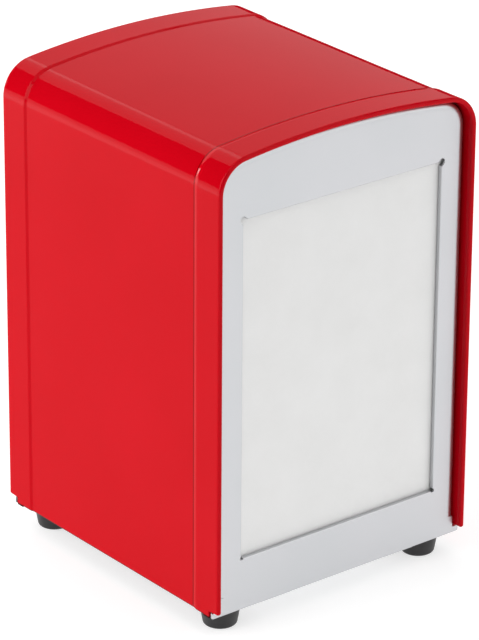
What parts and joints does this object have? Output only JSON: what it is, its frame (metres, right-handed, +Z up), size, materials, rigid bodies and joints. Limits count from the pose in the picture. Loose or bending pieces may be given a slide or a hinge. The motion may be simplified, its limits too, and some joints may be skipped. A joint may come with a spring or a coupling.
{
  "type": "napkin dispenser",
  "caption": "Small two-sided table napkin dispenser: wrapped enamelled casing, tilting window faceplates and sprung followers.",
  "frame": {"origin": "on the table, under the centre of the casing, level with the undersides of the feet", "axes": "+Z up, +X to the right seen from the front, and the front faceplate faces -Y"},
  "size_m": [0.097, 0.1054, 0.155],
  "materials": {
    "red_enamel": "gloss",
    "satin_steel": "satin",
    "zinc_plate": "satin",
    "fixings": "satin",
    "spring_steel": "gloss",
    "napkin_paper": "matte",
    "black_rubber": "matte"
  },
  "bodies": {
    "root": {"casing": "red_enamel", "base_plate": "zinc_plate", "front_hinge_pins": "fixings", "rear_hinge_pins": "fixings", "front_catch": "spring_steel", "rear_catch": "spring_steel", "centre_divider": "zinc_plate", "divider_rivets": "fixings", "divider_cups": "zinc_plate", "cup_rivet": "fixings", "front_spring": "spring_steel", "rear_spring": "spring_steel", "front_next_napkin": "napkin_paper", "rear_next_napkin": "napkin_paper", "front_napkin_stack": "napkin_paper", "rear_napkin_stack": "napkin_paper", "foot_front_left": "black_rubber", "foot_front_right": "black_rubber", "foot_rear_left": "black_rubber", "foot_rear_right": "black_rubber", "foot_washers": "fixings", "foot_rivets": "fixings"},
    "front_face": {"front_faceplate": "satin_steel"},
    "rear_face": {"rear_faceplate": "satin_steel"},
    "front_feed": {"front_follower": "zinc_plate", "front_follower_cup": "zinc_plate"},
    "rear_feed": {"rear_follower": "zinc_plate", "rear_follower_cup": "zinc_plate"}
  },
  "joints": [
    {"name": "front_face_tilt", "type": "hinge", "parent": "root", "child": "front_face", "pos_m": [0, -0.04785, 0.0085], "axis": [1, 0, 0], "range_deg": [0, 30]},
    {"name": "rear_face_tilt", "type": "hinge", "parent": "root", "child": "rear_face", "pos_m": [0, 0.04785, 0.0085], "axis": [-1, 0, 0], "range_deg": [0, 30]},
    {"name": "front_feed_slide", "type": "slide", "parent": "root", "child": "front_feed", "axis": [0, -1, 0], "range_m": [0, 0.03], "stiffness_N_per_m": 45, "springref_m": 0.045, "deforming": ["front_spring", "front_napkin_stack"]},
    {"name": "rear_feed_slide", "type": "slide", "parent": "root", "child": "rear_feed", "axis": [0, 1, 0], "range_m": [0, 0.03], "stiffness_N_per_m": 45, "springref_m": 0.045, "deforming": ["rear_spring", "rear_napkin_stack"]}
  ]
}
